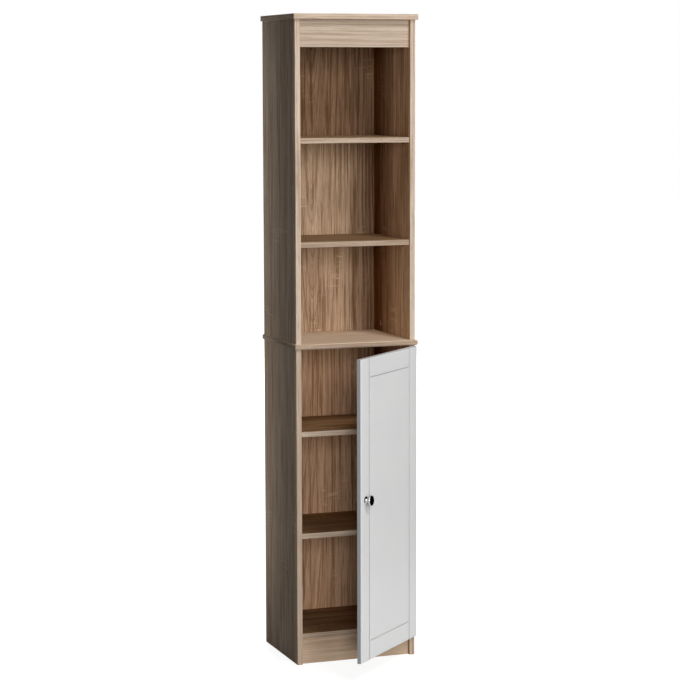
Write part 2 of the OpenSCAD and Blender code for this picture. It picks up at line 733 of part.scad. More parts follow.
// Cups, let into the back of the door
cup_screw_x = cup_x - cup_screw_set;
cup_screw_zs = [-cup_screw_spread / 2, cup_screw_spread / 2];
module cup_screw_place(z) {
  translate([cup_screw_x, door_back_y + ear_t, z]) rotate([90, 0, 0]) children();
}
module hinge_cups() {
  ear_r = 1.7 * wood_screw_d;
  color(steel) with_door() at_hinges() difference() {
    union() {
      translate([cup_x, door_back_y, 0]) rotate([90, 0, 0]) cylinder(h = cup_in, d = cup_d);
      board([cup_screw_x - ear_r, door_back_y, -cup_screw_spread / 2],
        [cup_screw_x + ear_r, door_back_y + ear_t, cup_screw_spread / 2]);
      for (z = cup_screw_zs) cup_screw_place(z) cylinder(h = ear_t, r = ear_r);
    }
    translate([0, door_back_y - cup_in + cup_wall, 0]) intersection() {
      translate([cup_x, 0, 0]) rotate([-90, 0, 0])
        cylinder(h = cup_in + ear_t, r = cup_d / 2 - cup_wall);
      board([cup_x - cup_d / 2, 0, -pocket_half], [cup_x + cup_d / 2, cup_in + ear_t, pocket_half]);
    }
    upright(outer_cup_pin, hinge_pin_d / 2 + fit_gap, pin_half + fit_gap);
    upright(inner_cup_pin, hinge_pin_d / 2 + fit_gap, pin_half + fit_gap);
    for (z = cup_screw_zs) cup_screw_place(z) screw_hole(wood_screw_d, ear_t + over);
  }
}
module hinge_cup_screws() {
  color(steel) with_door() at_hinges() for (z = cup_screw_zs) cup_screw_place(z)
    pan_screw(wood_screw_d, wood_screw_l);
}

// Door
knob_x = door_left_x + knob_inset;
knob_hole_d = knob_screw_d + 0.5;
module door_blank() {
  intersection() {
    translate([door_left_x, door_front_y, door_low_z]) linear_extrude(door_h)
      soft_rect(door_w, door_t, door_round, [1, 1, 0, 0]);
    translate([door_left_x, door_front_y, door_low_z]) rotate([90, 0, 90]) linear_extrude(door_w)
      soft_rect(door_t, door_h, door_round, [1, 0, 0, 1]);
  }
}
module door_lines() {
  left = door_left_x + stile_w;
  right = door_right_x - stile_w;
  end = groove_w / 2 + groove_stop;
  for (x = [left, right])
    board([x - groove_w / 2, door_front_y - over, door_low_z - over],
      [x + groove_w / 2, door_front_y + groove_in, door_top_z + over]);
  for (z = [door_low_z + door_rail_w, door_top_z - door_rail_w])
    board([left + end, door_front_y - over, z - groove_w / 2],
      [right - end, door_front_y + groove_in, z + groove_w / 2]);
}
module door_panel() {
  color(white) with_door() difference() {
    door_blank();
    door_lines();
    at_hinges() {
      translate([cup_x, door_back_y + over, 0]) rotate([90, 0, 0])
        cylinder(h = cup_in + fit_gap + over, r = cup_d / 2 + fit_gap);
      for (z = cup_screw_zs) cup_screw_place(z) screw_hole(wood_screw_d, wood_screw_l);
    }
    translate([knob_x, door_back_y + over, knob_z]) rotate([90, 0, 0])
      cylinder(h = door_t + 2 * over, d = knob_hole_d);
  }
}

// Knob, turned about its axis: a spread foot, a waist and a round-edged head
module door_knob() {
  neck_h = knob_out - knob_head_t;
  waist_r = 0.56 * neck_h;
  edge_r = 0.46 * knob_head_t;
  color(steel) with_door() translate([knob_x, door_front_y, knob_z]) rotate([90, 0, 0])
    difference() {
      rotate_extrude($fn = 96) {
        difference() {
          square([knob_base_d / 2, neck_h + edge_r]);
          translate([knob_neck_d / 2 + waist_r, 0.6 * neck_h]) circle(r = waist_r);
        }
        translate([0, neck_h]) {
          square([knob_d / 2 - edge_r, knob_head_t]);
          translate([0, edge_r]) square([knob_d / 2, knob_head_t - 2 * edge_r]);
          for (z = [edge_r, knob_head_t - edge_r]) translate([knob_d / 2 - edge_r, z])
            circle(r = edge_r);
        }
      }
      screw_hole(knob_screw_d, knob_screw_in);
    }
}
module knob_screw() {
  color(steel) with_door() translate([knob_x, door_back_y, knob_z]) rotate([90, 0, 0])
    pan_screw(knob_screw_d, door_t + knob_screw_in - over);
}
module door_bumpers() {
  color(rubber) with_door() for (z = [door_low_z + bumper_inset, door_top_z - bumper_inset])
    translate([-mid_x, door_back_y, z]) rotate([-90, 0, 0])
      cylinder(h = door_gap - bumper_gap, d = bumper_d);
}

top_board();
upper_side_left();
upper_side_right();
top_rail();
upper_back();
upper_shelf_high();
upper_shelf_low();
mid_board();
lower_side_left();
lower_side_right();
lower_back();
lower_shelf_high();
lower_shelf_low();
bottom_panel();
plinth();
door_panel();
door_knob();
knob_screw();
door_bumpers();
hinge_plates();
hinge_arms();
hinge_outer_links();
hinge_inner_links();
hinge_cups();
hinge_arm_pins();
hinge_cup_pins();
hinge_plate_screws();
hinge_arm_screws();
hinge_cup_screws();
upper_shelf_pins();
lower_shelf_pins();
cam_locks();
cam_bolts();
cam_covers();
dowels();
back_nails();
wall_brackets();
wall_bracket_screws();
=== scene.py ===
"""Looks of the tall bathroom cabinet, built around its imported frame. Metres, Z up."""

import math

import bpy
from mathutils import Matrix, Vector


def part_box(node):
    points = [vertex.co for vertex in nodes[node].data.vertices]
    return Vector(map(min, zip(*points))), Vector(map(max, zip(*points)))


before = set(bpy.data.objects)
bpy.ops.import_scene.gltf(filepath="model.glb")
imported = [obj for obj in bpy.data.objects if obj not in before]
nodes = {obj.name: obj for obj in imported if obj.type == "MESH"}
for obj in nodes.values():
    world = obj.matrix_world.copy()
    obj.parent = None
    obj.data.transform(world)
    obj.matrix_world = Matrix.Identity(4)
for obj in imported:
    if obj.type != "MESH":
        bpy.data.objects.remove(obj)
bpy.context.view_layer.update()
MM = 0.001
FRONT = (0, -1, 0)
UP = (0, 0, 1)
RIGHT = (1, 0, 0)
LEFT = (-1, 0, 0)


# Colours and node trees

def tone(red, green, blue):
    """A colour given as it looks on screen, 0 to 255, as the linear colour that shaders take.
    The numbers in it are those of the sRGB curve."""
    def linear(value):
        share = value / 255
        return share / 12.92 if share <= 0.04045 else ((share + 0.055) / 1.055) ** 2.4
    return (linear(red), linear(green), linear(blue), 1.0)


WHITE = (1.0, 1.0, 1.0, 1.0)


class Tree:
    """A node tree with short calls that add nodes and join them. An input is a number or a
    socket."""

    def __init__(self, tree):
        self.tree = tree

    def put(self, node, key, value):
        socket = node.inputs[key]
        if isinstance(value, bpy.types.NodeSocket):
            self.tree.links.new(value, socket)
        else:
            socket.default_value = value

    def add(self, kind, inputs=None, **settings):
        node = self.tree.nodes.new(kind)
        for name, value in settings.items():
            setattr(node, name, value)
        for key, value in (inputs or {}).items():
            self.put(node, key, value)
        return node

    def math(self, operation, *values):
        node = self.add("ShaderNodeMath", dict(enumerate(values)), operation=operation)
        return node.outputs[0]

    def plus(self, first, second):
        return self.math("ADD", first, second)

    def minus(self, first, second):
        return self.math("SUBTRACT", first, second)

    def times(self, first, second):
        return self.math("MULTIPLY", first, second)

    def over(self, value, level):
        """1 where value is above level, else 0."""
        return self.math("GREATER_THAN", value, level)

    def dot(self, vector, way):
        node = self.add("ShaderNodeVectorMath", {0: vector, 1: way}, operation="DOT_PRODUCT")
        return node.outputs["Value"]

    def joined(self, x, y, z):
        return self.add("ShaderNodeCombineXYZ", {0: x, 1: y, 2: z}).outputs[0]

    def parts(self, vector):
        return self.add("ShaderNodeSeparateXYZ", {0: vector}).outputs

    def place(self):
        return self.add("ShaderNodeTexCoord").outputs["Object"]

    def scaled(self, vector, x, y, z):
        return self.add("ShaderNodeMapping", {"Vector": vector, "Scale": (x, y, z)}).outputs[0]

    def noise(self, vector, scale=1.0, detail=2.0, rough=0.5):
        inputs = {"Vector": vector, "Scale": scale, "Detail": detail, "Roughness": rough}
        return self.add("ShaderNodeTexNoise", inputs).outputs["Fac"]

    def span(self, value, low, high, to_low=0.0, to_high=1.0, smooth=True):
        """value's stretch from low to high, spread from to_low to to_high and held there."""
        inputs = {"Value": value, "From Min": low, "From Max": high, "To Min": to_low,
                  "To Max": to_high}
        kind = "SMOOTHSTEP" if smooth else "LINEAR"
        return self.add("ShaderNodeMapRange", inputs, interpolation_type=kind).outputs[0]

    def pick(self, share, first, second):
        """A number: first where share is 0, second where it is 1."""
        node = self.add("ShaderNodeMix", {0: share, 2: first, 3: second}, data_type="FLOAT")
        return node.outputs[0]

    def mix(self, share, first, second, blend="MIX"):
        """A colour: first where share is 0, second, or its blend with first, where it is 1."""
        node = self.add("ShaderNodeMix", {0: share, 6: first, 7: second}, data_type="RGBA",
                        blend_type=blend)
        return node.outputs[2]

    def tinted(self, color, tint):
        return self.mix(1.0, color, tint, "MULTIPLY")

    def bump(self, height, distance):
        inputs = {"Height": height, "Distance": distance, "Strength": 1.0}
        return self.add("ShaderNodeBump", inputs).outputs[0]


def new_material(name, **constants):
    """A material with a Principled shader. Constants go on the shader's own sockets."""
    material = bpy.data.materials.new(name)
    material.use_nodes = True
    shader = material.node_tree.nodes["Principled BSDF"]
    for key, value in constants.items():
        shader.inputs[key.replace("_", " ")].default_value = value
    return material, Tree(material.node_tree), shader


# Oak print

OAK_PALE = tone(216, 197, 177)
OAK_MID = tone(196, 173, 150)
OAK_DARK = tone(154, 126, 101)
OAK_LINE = tone(112, 84, 62)
OAK_FLECK = tone(228, 211, 192)
OAK_MEAN = tone(182, 159, 137)
# The two tones below paint shade: a deeper, warmer tone and a darker one, for faces and corners in
# shade
OAK_SHADE_DEEP = (1.0, 0.91, 0.8, 1.0)
OAK_SHADE = tone(124, 91, 52)
CHIP_PALE = tone(205, 180, 142)
CHIP_DARK = tone(146, 112, 76)

# How often each part of the print comes in a metre, across, through and along the board, then the
# detail and the roughness of its noise
PRINT = {"sway": ((3, 3, 1.3), 1, 0.5),
         "wobble": ((60, 60, 16), 3, 0.6),
         "band": ((26, 0.6, 10), 2, 0.6),
         "line": ((170, 3, 90), 3, 0.6),
         "strong": ((11, 11, 3), 2, 0.5),
         "streak": ((190, 190, 4.5), 2, 0.5),
         "fibre": ((620, 620, 11), 3, 0.62),
         "pore": ((1500, 1500, 45), 1, 0.5),
         "patch": ((13, 13, 8), 1, 0.5),
         "fleck": ((22, 22, 190), 3, 0.6)}

# Where in its noise a part begins and where it is full, then its least and its most where these
# aren't 0 and 1
PRESENT = {"band": (0.38, 0.62),
           "strong": (0.36, 0.62, 0.25, 0.85),
           "pore": (0.62, 0.72),
           "patch": (0.6, 0.7),
           "fleck": (0.52, 0.64)}

# The dark of the lines, then the layers over it: where in its noise a part begins and is full, its
# most and its tone
LINE_DARK = (0.52, 0.64)
LAYERS = (("line", 0.47, 0.36, 0.6, OAK_FLECK),
          ("streak", 0.52, 0.66, 0.7, OAK_DARK),
          ("streak", 0.45, 0.33, 0.35, OAK_FLECK),
          ("fibre", 0.5, 0.7, 0.62, OAK_LINE))

# How far the growth lines wander, how blunt their points are (in square metres), how steep they
# are at the heart, how far from it they get straight, and how fast they change along the board
SWAY, WOBBLE = 26 * MM, 6 * MM
BLUNT = 3e-5
STEEP = 0.22
HEART_END, STRAIGHT = 8 * MM, 125 * MM
CHANGE = 0.3

# The most that pores and flecks colour, how deep and how high they are against the grain, and the
# gamma of the deeper tone that paints shade on inner faces
PORE_TONE, FLECK_TONE = 0.35, 0.6
PORE_DEPTH, FLECK_HEIGHT = 0.6, 0.3
SHADE_DEEP_GAMMA = 1.5

GRAIN_RANGE = (0.35, 0.65)
OAK_ROUGHNESS = (0.6, 0.72)
OAK_RELIEF = 0.12 * MM

CHIP_SCALE = 330
CHIP_RANGE = (0.38, 0.62)
RAW_ROUGHNESS = 0.8

# A face looks some way when more than this of its normal goes there
FACING = 0.7


def drawn(t, vector, part):
    """The noise of a part of the print."""
    scale, detail, rough = PRINT[part]
    return t.noise(t.scaled(vector, *scale), detail=detail, rough=rough)


def present(t, vector, part):
    """How much there is of a part of the print."""
    return t.span(drawn(t, vector, part), *PRESENT[part])


def growth_lines(t, given, place):
    """Where a point lies in the growth lines: nested points that open upward at the heart and
    straighten away from it."""
    sway = t.times(t.minus(drawn(t, place, "sway"), 0.5), SWAY)
    off = t.plus(t.minus(given["Across"], given["Heart"]), sway)
    away = t.math("SQRT", t.plus(t.times(off, off), BLUNT))
    rise = t.times(given["Along"], t.span(away, HEART_END, STRAIGHT, STEEP, 0.0))
    wobble = t.times(t.minus(drawn(t, place, "wobble"), 0.5), WOBBLE)
    ring = t.plus(t.minus(away, rise), wobble)
    change = t.plus(given["Seed"], t.times(given["Along"], CHANGE))
    return t.joined(ring, change, given["Through"])


def print_color(t, given, place, streak, fibre, pore, fleck):
    """The print's colour: the growth lines first, then streaks, fibres, pores and flecks, then the
    painted shade of Deep and Dark.
    """
    rings = growth_lines(t, given, place)
    noises = {"line": drawn(t, rings, "line"), "streak": streak, "fibre": fibre}
    color = t.mix(present(t, rings, "band"), OAK_MID, OAK_PALE)
    dark = t.times(t.span(noises["line"], *LINE_DARK), present(t, place, "strong"))
    color = t.mix(dark, color, OAK_DARK)
    for part, start, full, most, shade in LAYERS:
        color = t.mix(t.span(noises[part], start, full, 0.0, most), color, shade)
    color = t.mix(t.times(pore, PORE_TONE), color, OAK_LINE)
    color = t.mix(t.times(fleck, FLECK_TONE), color, OAK_FLECK)
    color = t.mix(given["Calm"], color, OAK_PALE)
    # Painted shade: the deeper tone, then the darker one
    deep = t.add("ShaderNodeGamma", {"Color": color, "Gamma": SHADE_DEEP_GAMMA}).outputs[0]
    color = t.mix(given["Deep"], color, t.tinted(deep, OAK_SHADE_DEEP))
    return t.mix(given["Dark"], color, t.tinted(color, OAK_SHADE))


def oak_group():
    """The oak print as a group: across the board, through it and along the grain, in metres.
    Heart is where the pointed figure stands across the board; far from it the grain runs
    straight. Deep and Dark paint shade, a deeper tone and a darker one. Deep, Dark, Calm and
    Fleck go from 0 to 1."""
    group = bpy.data.node_groups.new("oak_print", "ShaderNodeTree")
    for name in ("Across", "Through", "Along", "Seed", "Heart", "Deep", "Dark", "Calm", "Fleck"):
        group.interface.new_socket(name, in_out="INPUT", socket_type="NodeSocketFloat")
    group.interface.new_socket("Color", in_out="OUTPUT", socket_type="NodeSocketColor")
    for name in ("Roughness", "Height"):
        group.interface.new_socket(name, in_out="OUTPUT", socket_type="NodeSocketFloat")
    t = Tree(group)
    given = t.add("NodeGroupInput").outputs
    place = t.joined(*(t.plus(given[way], given["Seed"]) for way in ("Across", "Through", "Along")))
    streak = drawn(t, place, "streak")
    fibre = drawn(t, place, "fibre")
    pore = present(t, place, "pore")
    fleck = t.times(present(t, place, "fleck"), present(t, place, "patch"))
    fleck = t.times(fleck, given["Fleck"])
    grain = t.plus(t.times(fibre, 0.5), t.times(streak, 0.5))
    height = t.minus(grain, t.times(pore, PORE_DEPTH))
    out = t.add("NodeGroupOutput")
    t.put(out, "Color", print_color(t, given, place, streak, fibre, pore, fleck))
    t.put(out, "Roughness", t.span(grain, *GRAIN_RANGE, *OAK_ROUGHNESS, smooth=False))
    t.put(out, "Height", t.plus(height, t.times(fleck, FLECK_HEIGHT)))
    return group


OAK = oak_group()


def chipboard(t, place):
    """Raw chipboard, where a board has no edging."""
    chip = t.noise(place, CHIP_SCALE, detail=4, rough=0.7)
    return t.mix(t.span(chip, *CHIP_RANGE), CHIP_DARK, CHIP_PALE)


def faces(t, facing, axis):
    """1 on faces that are square to an axis, either way, else 0."""
    return t.over(t.math("ABSOLUTE", facing[axis]), FACING)


def darkness(t, place, dark):
    """The strongest of the stretches in dark, each an axis with its start, end and strength. The
    stretches that reach towards a side or the back paint shade into the corners.
    """
    reach = 0.0
    for axis, start, end, strength in dark:
        away = t.math("ABSOLUTE", place[axis])
        step = t.span(away, start, end, 0.0, strength, smooth=False)
        reach = t.math("MAXIMUM", reach, step)
    return reach


def oak(name, grain, across, seed, inside, heart=-0.5, deep=0.0, tint=(1.0, 1.0, 1.0), dark=(),
        edge=0.0, calm=(0.0, 0.3), fleck=1.0, fine=1.0, outer=0.0):
    """Oak print with its grain along one axis. Faces square to that axis take it along their
    length. inside is the way that the inner face looks. That face has its own tint, is as deep in
    tone as deep says, and the stretches in dark darken it: painted shade inside the cabinet, and
    painted light where the tint is above 1. edge paints shade on the narrow faces, calm is how
    plain the broad faces and the narrow ones are, fine is how closely the grain stands, and outer
    is how much the outer face keeps to the print's mean."""
    material, t, shader = new_material("oak_" + name, Specular_IOR_Level=0.02, IOR=1.5)
    coordinate = t.add("ShaderNodeTexCoord").outputs
    place = t.parts(coordinate["Object"])
    facing = t.parts(coordinate["Normal"])
    through = next(axis for axis in "XYZ" if axis not in (grain, across))
    on_end = faces(t, facing, grain)
    broad = faces(t, facing, through)
    inner = t.over(t.dot(coordinate["Normal"], inside), FACING)
    sideways = t.pick(on_end, place[across], place[grain])
    narrow = t.minus(1.0, broad)
    sheet = t.add("ShaderNodeGroup", {
        "Across": t.times(sideways, fine),
        "Through": place[through],
        "Along": t.pick(on_end, place[grain], place[across]),
        "Seed": seed,
        "Heart": heart,
        # Deep and Dark paint shade: on the inner face, and Dark on the narrow faces too
        "Deep": t.times(inner, deep),
        "Dark": t.plus(t.times(inner, darkness(t, place, dark)), t.times(narrow, edge)),
        "Fleck": t.times(broad, fleck),
        "Calm": t.span(broad, 0, 1, calm[1], calm[0], smooth=False)}, node_tree=OAK).outputs
    outside = t.times(broad, t.minus(1.0, inner))
    color = t.mix(t.times(outside, outer), sheet["Color"], OAK_MEAN)
    # The inner face's tint paints shade, and painted light where it is above 1
    color = t.mix(inner, color, t.tinted(color, (*tint, 1.0)))
    raw = t.over(facing["Y"], FACING)
    rough = t.math("MAXIMUM", sheet["Roughness"], t.times(raw, RAW_ROUGHNESS))
    t.put(shader, "Base Color", t.mix(raw, color, chipboard(t, coordinate["Object"])))
    t.put(shader, "Roughness", rough)
    t.put(shader, "Normal", t.bump(sheet["Height"], OAK_RELIEF))
    return material


# Other materials

DOOR_OPEN = math.radians(43)
DOOR_AWAY = Vector((math.sin(DOOR_OPEN), -math.cos(DOOR_OPEN), 0.0))
DOOR_ALONG = Vector((-math.cos(DOOR_OPEN), -math.sin(DOOR_OPEN), 0.0))
DOOR_TONES = (tone(237, 237, 237), tone(241, 241, 240))
# The free edge's grey is painted shade
DOOR_EDGE_SHADE = tone(148, 149, 152)
FOIL_CLOUD, FOIL_PEEL = 9, 900
PEEL_DEPTH = 0.02 * MM
# The free edge looks along the door when more than this of its normal does
ON_EDGE = 0.9

# The painted shade in the door's routed lines: its grey comes in between the first two depths
# under the front, goes out between the other two, and covers the white by its share
LINE_SHADE = tone(120, 122, 125)
LINE_IN = (0.2 * MM, 1.3 * MM)
LINE_OUT = (3 * MM, 2 * MM)
LINE_SHARE = 0.5

# Light and dark tone of each metal, its lowest and highest roughness, and how deep its grain is
METALS = {"chrome": (tone(178, 179, 183), tone(164, 165, 169), 0.05, 0.09, 0.004 * MM),
          "nickel": (tone(205, 205, 206), tone(172, 173, 176), 0.2, 0.32, 0.004 * MM),
          "zinc": (tone(170, 172, 176), tone(140, 142, 147), 0.4, 0.55, 0.02 * MM),
          "burnished": (tone(112, 92, 74), tone(88, 70, 54), 0.45, 0.6, 0.004 * MM)}
METAL_CLOUD, METAL_GRAIN = 260, 2340

BEECH_TONES = (tone(196, 156, 108), tone(224, 190, 145))
BEECH_PORES = 500
BEECH_DEPTH = 0.05 * MM
PLASTIC_TONES = (tone(232, 233, 232), tone(244, 245, 244))
PLASTIC_CLOUD = 400
CLOUD_RANGE = (0.3, 0.7)


def uneven(t, cloud, low, high, smooth=True):
    """A roughness that goes from low to high with a cloud."""
    return t.span(cloud, *CLOUD_RANGE, low, high, smooth)


def routed_lines(t, place):
    """1 in the routed lines of the door's front, else 0."""
    front = max(DOOR_AWAY.dot(v.co) for v in nodes["door_panel"].data.vertices)
    sunk = t.minus(front, t.dot(place, DOOR_AWAY))
    return t.times(t.span(sunk, *LINE_IN), t.span(sunk, *LINE_OUT))


def door_foil():
    """White foil with a faint orange peel and a wandering tone, with painted shade in the routed
    lines and on the free edge."""
    material, t, shader = new_material("door_foil", Specular_IOR_Level=0.3, IOR=1.48)
    coordinate = t.add("ShaderNodeTexCoord").outputs
    place = coordinate["Object"]
    cloud = t.noise(place, FOIL_CLOUD, detail=3)
    peel = t.noise(place, FOIL_PEEL, detail=2)
    shaded_free_edge = t.over(t.dot(coordinate["Normal"], DOOR_ALONG), ON_EDGE)
    color = t.mix(shaded_free_edge, t.mix(cloud, *DOOR_TONES), DOOR_EDGE_SHADE)
    share = t.times(routed_lines(t, place), LINE_SHARE)
    t.put(shader, "Base Color", t.mix(share, color, LINE_SHADE))
    t.put(shader, "Roughness", uneven(t, cloud, 0.34, 0.42, smooth=False))
    t.put(shader, "Normal", t.bump(peel, PEEL_DEPTH))
    return material


def polished(name):
    """Metal whose shine wanders."""
    light, dark, low, high, depth = METALS[name]
    material, t, shader = new_material(name, Metallic=1.0)
    cloud = t.noise(t.place(), METAL_CLOUD, detail=3)
    grain = t.noise(t.place(), METAL_GRAIN, detail=2)
    t.put(shader, "Base Color", t.mix(cloud, dark, light))
    t.put(shader, "Roughness", uneven(t, cloud, low, high, smooth=False))
    t.put(shader, "Normal", t.bump(grain, depth))
    return material


def beech():
    """Dowel beech: warm, with small pores."""
    material, t, shader = new_material("beech_wood", Specular_IOR_Level=0.3)
    pore = t.noise(t.place(), BEECH_PORES, detail=3)
    t.put(shader, "Base Color", t.mix(pore, *BEECH_TONES))
    t.put(shader, "Roughness", uneven(t, pore, 0.55, 0.7))
    t.put(shader, "Normal", t.bump(pore, BEECH_DEPTH))
    return material


def bumper_plastic():
    """Soft clear plastic of the door bumpers."""
    material, t, shader = new_material("bumper_plastic", Transmission_Weight=0.55, IOR=1.45)
    cloud = t.noise(t.place(), PLASTIC_CLOUD, detail=2)
    t.put(shader, "Base Color", t.mix(cloud, *PLASTIC_TONES))
    t.put(shader, "Roughness", uneven(t, cloud, 0.25, 0.35))
    return material


# Which material each node of the frame wears

SIDES = ("upper_side_left", "upper_side_right", "lower_side_left", "lower_side_right")
# The sides' inner faces have painted shade: a warm tint, a deeper tone and a darkening towards the
# back corners. The edge numbers paint shade on their narrow faces.
SIDE_SHADE_DEEP = 0.2
SIDE_SHADE_TINT = (1.04, 0.88, 0.72)
SIDE_CORNER_SHADE = [("Y", 0.21, 0.03, 1.0)]
SIDE_EDGE_SHADE = {"upper": 0.1, "lower": 0.12}
SIDE_FINE = 0.6
SIDE_OUTER = 0.38
BACKS = ("upper_back", "lower_back")
FADE = 15 * MM
# Tint and depth of a level board's upper face, darkness of its edges, and its calm. The tint and
# depth paint shade on the shelves and the bottom and light on the mid board's top; the edge
# darkness is painted shade.
LEVELS = {"top_board": ((0.98, 0.98, 0.98), 0.0, 0.0, 0.3),
          "mid_board": ((1.28, 1.22, 1.14), 0.0, 0.32, 0.5),
          "bottom_panel": ((0.62, 0.48, 0.33), 0.5, 0.35, 0.0),
          "upper_shelf_high": ((0.74, 0.62, 0.47), 0.4, 0.3, 0.0),
          "upper_shelf_low": ((0.62, 0.51, 0.38), 0.4, 0.34, 0.0),
          "lower_shelf_high": ((0.66, 0.51, 0.34), 0.4, 0.0, 0.0),
          "lower_shelf_low": ((0.66, 0.51, 0.34), 0.4, 0.0, 0.0)}
LEVEL_EDGE_CALM = 0.3
FRONTS = {"top_rail": (0.82, 0.81, 0.81), "plinth": (0.9, 0.82, 0.74)}
FRONT_CALM = (0.45, 0.4)
BOARDS = SIDES + BACKS + tuple(LEVELS) + tuple(FRONTS)

# Where the boards lie in the print: the first of a kind and the step to the next, or one alone
SIDE_SEEDS = (3.1, 1.7)
LEVEL_SEEDS = (21.9, 1.3)
FRONT_SEEDS = (41.7, 1.9)
UPPER_BACK_SEED = 11.3
LOWER_BACK_SEED = 17.9
COVER_SEED = 51.3


def seeded(names, seeds):
    """Each name with a seed of its own, which keeps neighbours from matching."""
    first, step = seeds
    return [(name, first + step * i) for i, name in enumerate(names)]


def dress(node, material):
    slots = nodes[node].data.materials
    slots.clear()
    slots.append(material)


def dress_sides():
    for name, seed in seeded(SIDES, SIDE_SEEDS):
        inward = RIGHT if name.endswith("left") else LEFT
        dress(name, oak(name, "Z", "Y", seed, inward, deep=SIDE_SHADE_DEEP, tint=SIDE_SHADE_TINT,
                        dark=SIDE_CORNER_SHADE, edge=SIDE_EDGE_SHADE[name.split("_")[0]], fine=SIDE_FINE,
                        outer=SIDE_OUTER))


def dress_backs():
    """The backs have painted shade: a deeper tone, warmer on the lower one, and a darkening towards
    both sides, where the corners are. The upper one is also darker above the high shelf.
    """
    shelf_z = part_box("upper_shelf_high")[0].z
    dress("upper_back", oak("upper_back", "Z", "X", UPPER_BACK_SEED, FRONT, heart=-0.03, deep=0.75,
                            dark=[("X", 0.06, 0.16, 0.75), ("Z", shelf_z, shelf_z + FADE, 0.65)]))
    dress("lower_back", oak("lower_back", "Z", "X", LOWER_BACK_SEED, FRONT, heart=-0.08, deep=0.35,
                            tint=(1.1, 0.9, 0.76), dark=[("X", 0.1, 0.16, 0.5)]))


def dress_levels():
    for name, seed in seeded(LEVELS, LEVEL_SEEDS):
        tint, deep, edge, calm = LEVELS[name]
        dress(name, oak(name, "X", "Y", seed, UP, deep=deep, tint=tint, edge=edge,
                        calm=(calm, LEVEL_EDGE_CALM)))


def dress_fronts():
    for name, seed in seeded(FRONTS, FRONT_SEEDS):
        dress(name, oak(name, "X", "Z", seed, FRONT, tint=FRONTS[name], calm=FRONT_CALM,
                        fleck=0.0))


def dress_fittings():
    """The door and the fittings. Those that aren't named here are nickel-plated."""
    chrome, nickel, zinc, burnished = (polished(name) for name in METALS)
    # The cam covers on the sides' inner faces get the sides' painted shade
    cover = oak("cam_covers", "Z", "Y", COVER_SEED, LEFT, deep=SIDE_SHADE_DEEP, tint=SIDE_SHADE_TINT,
                dark=SIDE_CORNER_SHADE)
    looks = {"door_panel": door_foil(), "door_knob": chrome, "door_bumpers": bumper_plastic(),
             "dowels": beech(), "cam_covers": cover, "cam_locks": zinc, "wall_brackets": zinc,
             "upper_shelf_pins": burnished, "lower_shelf_pins": burnished}
    for name in sorted(set(nodes) - set(BOARDS)):
        dress(name, looks.get(name, nickel))


# Softened edges

EDGE_ANGLE = math.radians(32)
EDGE_LENGTH = 20 * MM
JOIN = 0.001 * MM
BEVEL = 0.4 * MM
BEVELLED = SIDES + tuple(LEVELS) + tuple(FRONTS) + ("door_panel",)


def soft_edge_group():
    """Joins the frame's split corners, shades curves smooth and marks the long sharp edges."""
    group = bpy.data.node_groups.new("soft_edges", "GeometryNodeTree")
    group.interface.new_socket("Geometry", in_out="INPUT", socket_type="NodeSocketGeometry")
    group.interface.new_socket("Geometry", in_out="OUTPUT", socket_type="NodeSocketGeometry")
    t = Tree(group)
    shape = t.add("NodeGroupInput").outputs[0]
    shape = t.add("GeometryNodeMergeByDistance", {"Geometry": shape, "Distance": JOIN}).outputs[0]
    angle = t.add("GeometryNodeInputMeshEdgeAngle").outputs["Unsigned Angle"]
    ends = t.add("GeometryNodeInputMeshEdgeVertices").outputs
    length = t.add("ShaderNodeVectorMath", {0: ends["Position 1"], 1: ends["Position 2"]},
                   operation="DISTANCE").outputs["Value"]
    marked = t.times(t.over(angle, EDGE_ANGLE), t.over(length, EDGE_LENGTH))
    shape = t.add("GeometryNodeSetShadeSmooth", {"Geometry": shape}, domain="FACE").outputs[0]
    smooth = t.math("LESS_THAN", angle, EDGE_ANGLE)
    shape = t.add("GeometryNodeSetShadeSmooth", {"Geometry": shape, "Shade Smooth": smooth},
                  domain="EDGE").outputs[0]
    inputs = {"Geometry": shape, "Name": "bevel_weight_edge", "Value": marked}
    store = t.add("GeometryNodeStoreNamedAttribute", inputs, domain="EDGE", data_type="FLOAT")
    t.put(t.add("NodeGroupOutput"), 0, store.outputs[0])
    return group


SOFT_EDGES = soft_edge_group()


def soften(node, rounded):
    """Shades a node's curves smooth and, where rounded says so, rounds its long edges."""
    piece = nodes[node]
    mark = piece.modifiers.new("soft_edges", "NODES")
    mark.node_group = SOFT_EDGES
    if not rounded:
        return
    bevel = piece.modifiers.new("bevel", "BEVEL")
    bevel.limit_method = "WEIGHT"
    bevel.width = BEVEL
    bevel.segments = 2
    weigh = piece.modifiers.new("weighted_normal", "WEIGHTED_NORMAL")
    weigh.keep_sharp = True


# Camera, light and floor

FRAME_PIXELS = 680
FOCAL_PIXELS = 2241.9
SENSOR_WIDTH = 36.0
CAMERA_REACH = 100.0
CAMERA_PLACE = (-2.1322, -6.0694, 1.6207)
# Yaw, pitch and roll in degrees, from a level look to the back
CAMERA_TURN = (19.821, -6.613, -0.146)

AIM = (0.0, -0.15, 0.9)
RIM_AIM = (-0.17, -0.1, 0.95)
# Place, width, height, level and aim of each lamp
LAMPS = {"key": ((2.7, -9.8, 2.7), 2.4, 4.0, 0.24, AIM),
         "fill": ((-2.7, -10.0, 2.3), 2.4, 4.0, 0.38, AIM),
         "top": ((1.0, -5.6, 6.4), 2.4, 1.8, 0.38, AIM),
         "back": ((2.2, 6.5, 2.6), 2.4, 3.0, 0.55, AIM),
         "rim": ((-0.3, 0.06, 0.95), 0.04, 1.6, 0.85, RIM_AIM)}

